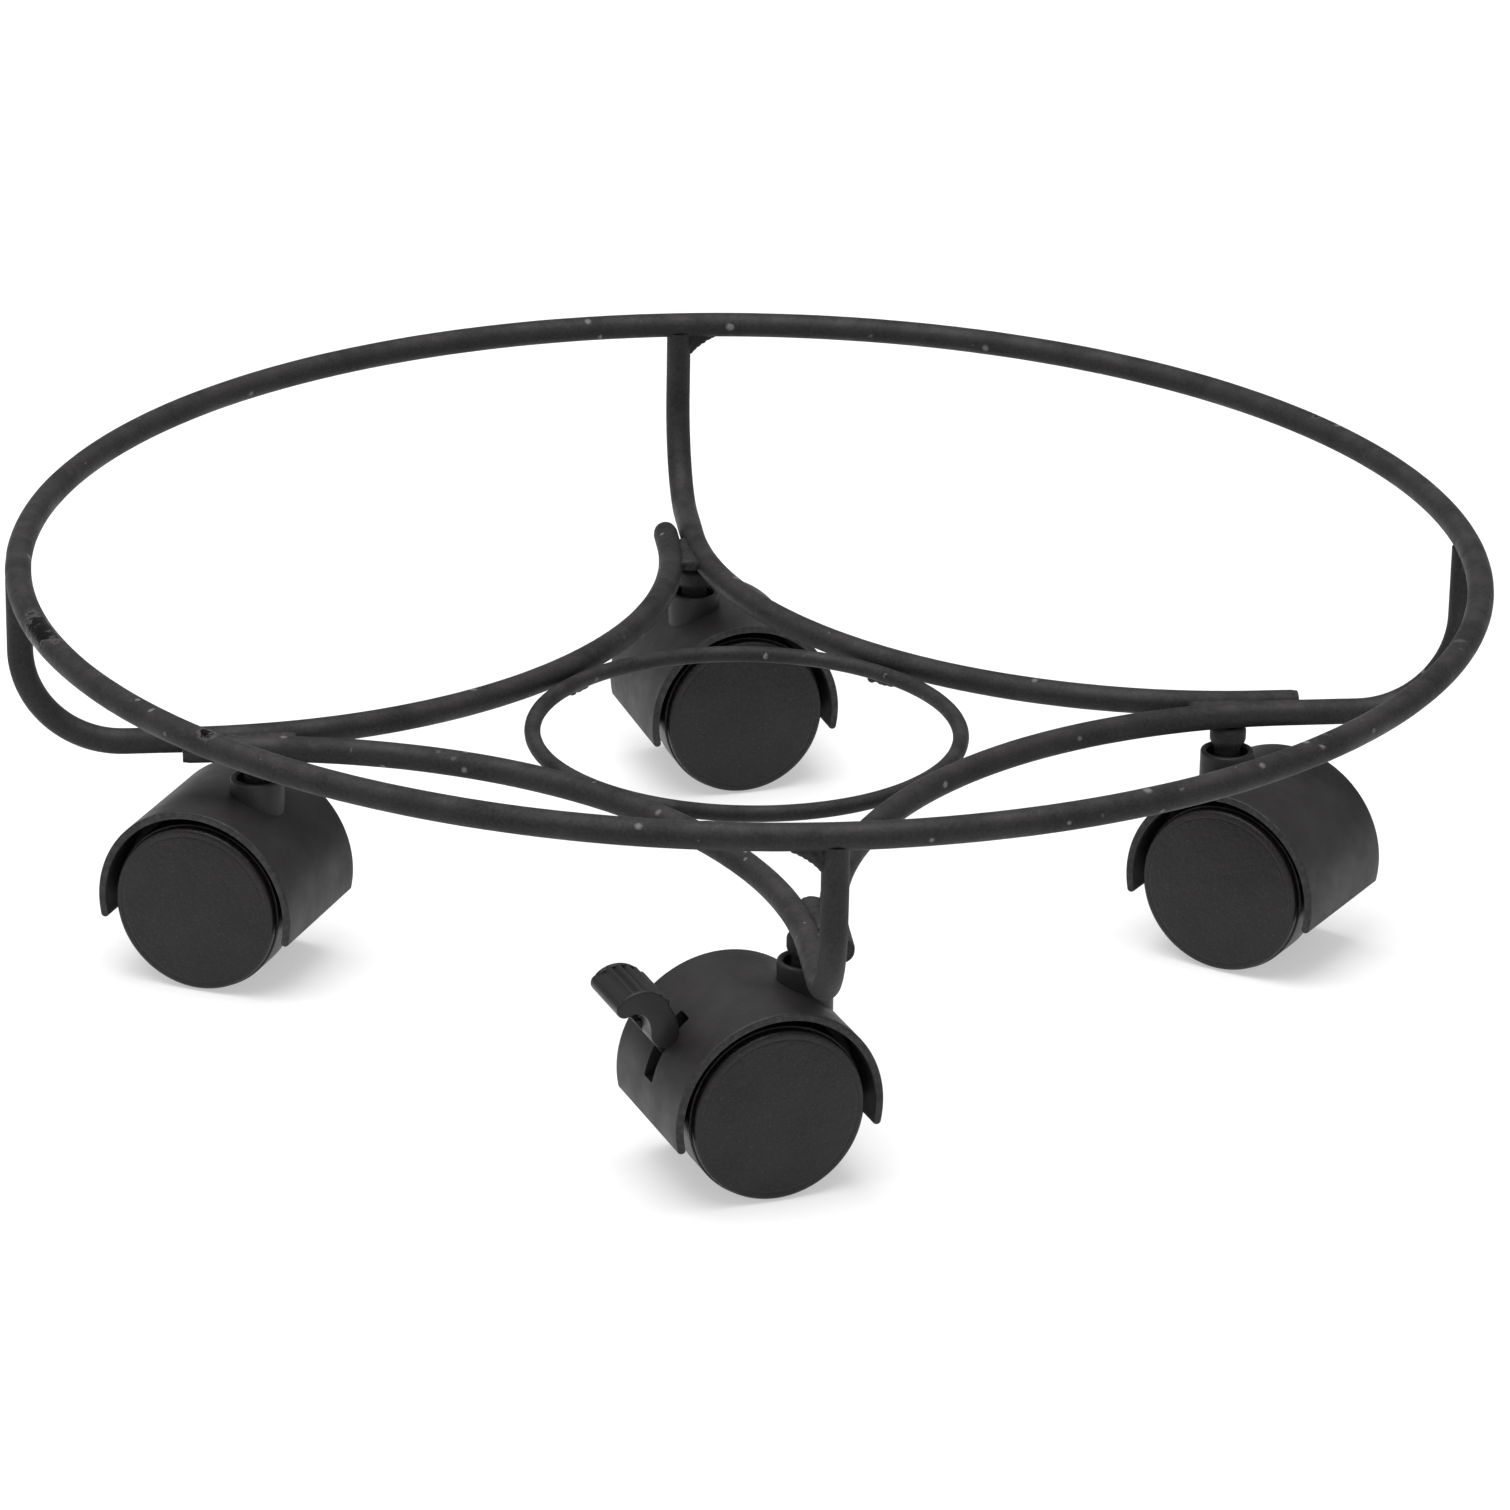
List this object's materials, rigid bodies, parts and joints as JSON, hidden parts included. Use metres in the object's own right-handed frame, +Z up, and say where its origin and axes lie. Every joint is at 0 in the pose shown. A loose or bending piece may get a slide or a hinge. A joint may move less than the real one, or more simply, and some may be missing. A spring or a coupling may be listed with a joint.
{
  "type": "plant pot caddy",
  "caption": "Round wire caddy for a plant pot: a ring on bent rod arms that rest on swivelling twin-wheel casters, one with a brake.",
  "frame": {"origin": "on the floor under the middle of the top ring", "axes": "+Z up; -Y towards the braked caster; +X to the right of it"},
  "size_m": [0.3358, 0.3358, 0.101],
  "materials": {
    "frame_paint": "matt black powder coat over round steel rod, with fine pits and a few glossy chips",
    "hood_plastic": "matt black moulded nylon",
    "wheel_plastic": "fine-grained satin black nylon",
    "axle_steel": "plain drawn steel"
  },
  "bodies": {
    "frame": {"top_ring": "frame_paint", "inner_ring": "frame_paint", "arm_right": "frame_paint", "arm_back": "frame_paint", "arm_left": "frame_paint", "arm_front": "frame_paint", "stem_right": "frame_paint", "stem_back": "frame_paint", "stem_left": "frame_paint", "stem_front": "frame_paint", "post_weld_right": "frame_paint", "post_weld_back": "frame_paint", "post_weld_left": "frame_paint", "post_weld_front": "frame_paint", "crotch_weld_right": "frame_paint", "crotch_weld_back": "frame_paint", "crotch_weld_left": "frame_paint", "crotch_weld_front": "frame_paint", "inner_weld_right": "frame_paint", "inner_weld_back": "frame_paint", "inner_weld_left": "frame_paint", "inner_weld_front": "frame_paint"},
    "caster_right": {"hood_right": "hood_plastic", "axle_right": "axle_steel"},
    "wheel_body_right_a": {"wheel_right_a": "wheel_plastic", "cover_right_a": "wheel_plastic"},
    "wheel_body_right_b": {"wheel_right_b": "wheel_plastic", "cover_right_b": "wheel_plastic"},
    "caster_back": {"hood_back": "hood_plastic", "axle_back": "axle_steel"},
    "wheel_body_back_a": {"wheel_back_a": "wheel_plastic", "cover_back_a": "wheel_plastic"},
    "wheel_body_back_b": {"wheel_back_b": "wheel_plastic", "cover_back_b": "wheel_plastic"},
    "caster_left": {"hood_left": "hood_plastic", "axle_left": "axle_steel"},
    "wheel_body_left_a": {"wheel_left_a": "wheel_plastic", "cover_left_a": "wheel_plastic"},
    "wheel_body_left_b": {"wheel_left_b": "wheel_plastic", "cover_left_b": "wheel_plastic"},
    "caster_front": {"hood_front": "hood_plastic", "axle_front": "axle_steel", "brake_pin": "axle_steel"},
    "wheel_body_front_a": {"wheel_front_a": "wheel_plastic", "cover_front_a": "wheel_plastic"},
    "wheel_body_front_b": {"wheel_front_b": "wheel_plastic", "cover_front_b": "wheel_plastic"},
    "brake": {"brake_lever": "hood_plastic"}
  },
  "joints": [
    {"name": "swivel_right", "type": "hinge", "parent": "frame", "child": "caster_right", "pos_m": [0.11119, 0.01347, 0.05], "axis": [0, 0, 1], "continuous": true},
    {"name": "roll_right_a", "type": "hinge", "parent": "caster_right", "child": "wheel_body_right_a", "pos_m": [0.11812, 0.00947, 0.02], "axis": [0.5, 0.866, 0], "continuous": true},
    {"name": "roll_right_b", "type": "hinge", "parent": "caster_right", "child": "wheel_body_right_b", "pos_m": [0.11812, 0.00947, 0.02], "axis": [0.5, 0.866, 0], "continuous": true},
    {"name": "swivel_back", "type": "hinge", "parent": "frame", "child": "caster_back", "pos_m": [-0.01347, 0.11119, 0.05], "axis": [0, 0, 1], "continuous": true},
    {"name": "roll_back_a", "type": "hinge", "parent": "caster_back", "child": "wheel_body_back_a", "pos_m": [-0.00587, 0.11366, 0.02], "axis": [-0.309, 0.9511, 0], "continuous": true},
    {"name": "roll_back_b", "type": "hinge", "parent": "caster_back", "child": "wheel_body_back_b", "pos_m": [-0.00587, 0.11366, 0.02], "axis": [-0.309, 0.9511, 0], "continuous": true},
    {"name": "swivel_left", "type": "hinge", "parent": "frame", "child": "caster_left", "pos_m": [-0.11119, -0.01347, 0.05], "axis": [0, 0, 1], "continuous": true},
    {"name": "roll_left_a", "type": "hinge", "parent": "caster_left", "child": "wheel_body_left_a", "pos_m": [-0.11871, -0.01074, 0.02], "axis": [-0.342, -0.9397, 0], "continuous": true},
    {"name": "roll_left_b", "type": "hinge", "parent": "caster_left", "child": "wheel_body_left_b", "pos_m": [-0.11871, -0.01074, 0.02], "axis": [-0.342, -0.9397, 0], "continuous": true},
    {"name": "swivel_front", "type": "hinge", "parent": "frame", "child": "caster_front", "pos_m": [0.01347, -0.11119, 0.05], "axis": [0, 0, 1], "continuous": true},
    {"name": "roll_front_a", "type": "hinge", "parent": "caster_front", "child": "wheel_body_front_a", "pos_m": [0.00188, -0.11587, 0.02], "axis": [0.3746, -0.9272, 0], "continuous": true},
    {"name": "roll_front_b", "type": "hinge", "parent": "caster_front", "child": "wheel_body_front_b", "pos_m": [0.00188, -0.11587, 0.02], "axis": [0.3746, -0.9272, 0], "continuous": true},
    {"name": "brake_press", "type": "hinge", "parent": "caster_front", "child": "brake", "pos_m": [-0.01141, -0.12124, 0.03004], "axis": [0.3746, -0.9272, 0], "range_deg": [0, 16]}
  ]
}
